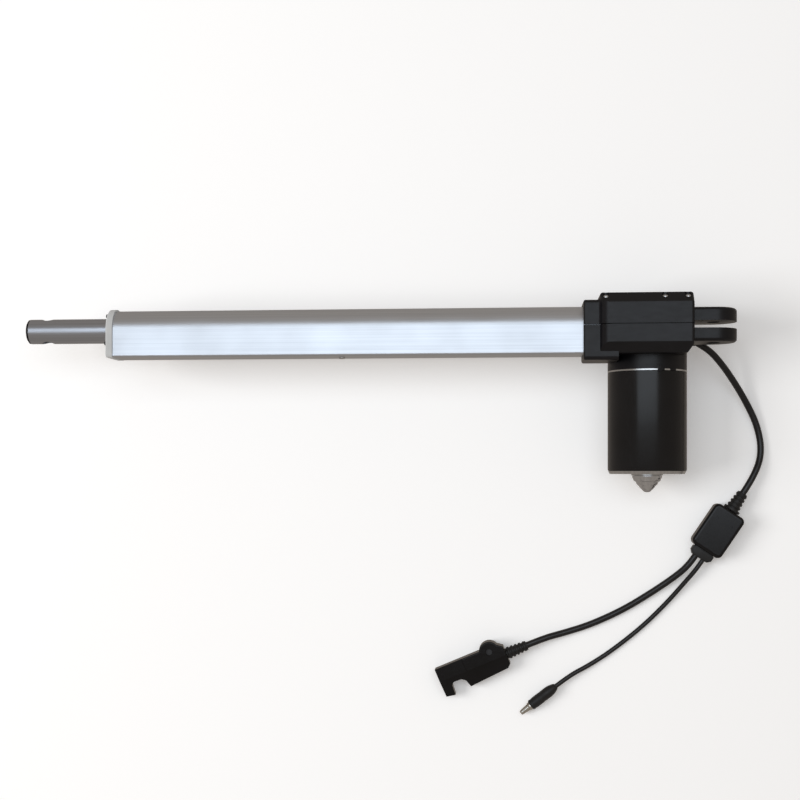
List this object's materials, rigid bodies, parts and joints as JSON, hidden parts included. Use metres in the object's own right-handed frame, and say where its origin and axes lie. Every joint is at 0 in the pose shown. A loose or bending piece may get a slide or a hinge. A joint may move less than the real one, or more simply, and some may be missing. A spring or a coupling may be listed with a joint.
{
  "type": "linear actuator",
  "caption": "Electric linear actuator: D-section tube with sliding rod, worm gearbox with side motor and forked mount, and a split cable with two plugs.",
  "frame": {"origin": "centre of the rear clevis bore, midway between its two ears", "axes": "X along the stroke, the rod slides out along -X; +Y along the clevis bore, the motor hangs toward -Y; +Z square to both, away from the surface that the actuator lies on"},
  "size_m": [0.6011, 0.3421, 0.0825],
  "materials": {
    "anodised_tube": "satin anodised extrusion with fine lengthwise die lines",
    "satin_rod": "turned and satin polished",
    "grey_cap": "moulded light grey plastic",
    "black_housing": "moulded black nylon with fine spark texture",
    "black_rubber": "moulded soft black rubber",
    "black_pvc": "smooth black PVC sheath",
    "can_paint": "black satin paint on a drawn steel can",
    "zinc_steel": "bright zinc plate",
    "ground_steel": "ground and oiled",
    "blackened_steel": "black oxide",
    "white_nylon": "machined natural acetal",
    "bronze_bush": "oil-filled sintered bronze",
    "lamination": "stacked silicon-steel sheet",
    "enamel_copper": "enamelled copper wire",
    "bare_copper": "turned copper",
    "ferrite": "sintered ferrite",
    "carbon": "pressed carbon",
    "phenolic": "brown phenolic sheet",
    "circuit_board": "green circuit board",
    "nickel": "nickel plate"
  },
  "bodies": {
    "frame": {"outer_tube": "anodised_tube", "front_cap": "grey_cap", "cap_screws": "blackened_steel", "wiper_seal": "black_rubber", "rod_guide": "white_nylon", "bearing_outer_race": "ground_steel", "rear_bush": "bronze_bush", "brake_spring": "ground_steel", "housing_upper": "black_housing", "housing_lower": "black_housing", "gasket": "black_rubber", "housing_screws": "zinc_steel", "tube_screw": "zinc_steel", "rear_clevis": "black_housing", "switch_strip": "circuit_board", "front_switch": "phenolic", "rear_switch": "phenolic", "motor_flange": "zinc_steel", "motor_can": "can_paint", "motor_end_plate": "zinc_steel", "motor_bearing_cup": "zinc_steel", "motor_magnets": "ferrite", "brush_holder": "phenolic", "brushes": "carbon", "brush_springs": "ground_steel", "motor_front_bearing": "bronze_bush", "motor_rear_bearing": "bronze_bush", "worm_end_bush": "bronze_bush", "main_cable": "black_pvc", "plug_cable": "black_pvc", "lead_cable": "black_pvc", "cable_gland": "black_rubber", "y_block_lower": "black_housing", "y_block_upper": "black_housing", "y_block_entry_boot": "black_rubber", "y_block_outlet_nozzle": "black_rubber", "power_plug_body": "black_housing", "power_plug_pins": "nickel", "power_plug_screw": "blackened_steel", "power_plug_boot": "black_rubber", "lead_plug_body": "black_rubber", "lead_plug_barrel": "nickel"},
    "rod": {"inner_rod": "satin_rod", "rod_end_plug": "black_housing", "drive_nut": "white_nylon"},
    "spindle": {"spindle": "ground_steel", "spindle_tip_disc": "white_nylon", "worm_wheel": "white_nylon", "bearing_inner_race": "ground_steel"},
    "bearing_balls": {"bearing_balls": "nickel"},
    "armature": {"worm_shaft": "ground_steel", "armature_core": "lamination", "armature_winding": "enamel_copper", "commutator": "bare_copper"},
    "front_lever": {"front_switch_lever": "nickel"},
    "rear_lever": {"rear_switch_lever": "nickel"}
  },
  "joints": [
    {"name": "motor_spin", "type": "hinge", "parent": "frame", "child": "armature", "pos_m": [-0.049, 0, -0.025], "axis": [0, -1, 0], "range_deg": [0, 413400]},
    {"name": "spindle_spin", "type": "hinge", "parent": "frame", "child": "spindle", "pos_m": [0, 0, 0], "axis": [1, 0, 0], "continuous": true},
    {"name": "bearing_ball_orbit", "type": "hinge", "parent": "frame", "child": "bearing_balls", "pos_m": [0, 0, 0], "axis": [1, 0, 0], "continuous": true},
    {"name": "rod_slide", "type": "slide", "parent": "frame", "child": "rod", "axis": [-1, 0, 0], "range_m": [0, 0.265]},
    {"name": "front_switch_press", "type": "hinge", "parent": "frame", "child": "front_lever", "pos_m": [-0.439, -0.01435, 0], "axis": [0, 0, -1], "range_deg": [0, 7], "stiffness_Nm_per_rad": 0.01},
    {"name": "rear_switch_press", "type": "hinge", "parent": "frame", "child": "rear_lever", "pos_m": [-0.135, -0.01435, 0], "axis": [0, 0, -1], "range_deg": [0, 7], "stiffness_Nm_per_rad": 0.01}
  ],
  "couplings": [
    {"joint": "spindle_spin", "follows": "motor_spin", "ratio": 0.038462},
    {"joint": "bearing_ball_orbit", "follows": "motor_spin", "ratio": 0.014019},
    {"joint": "rod_slide", "follows": "motor_spin", "m_per_rad": 0.000036728}
  ]
}
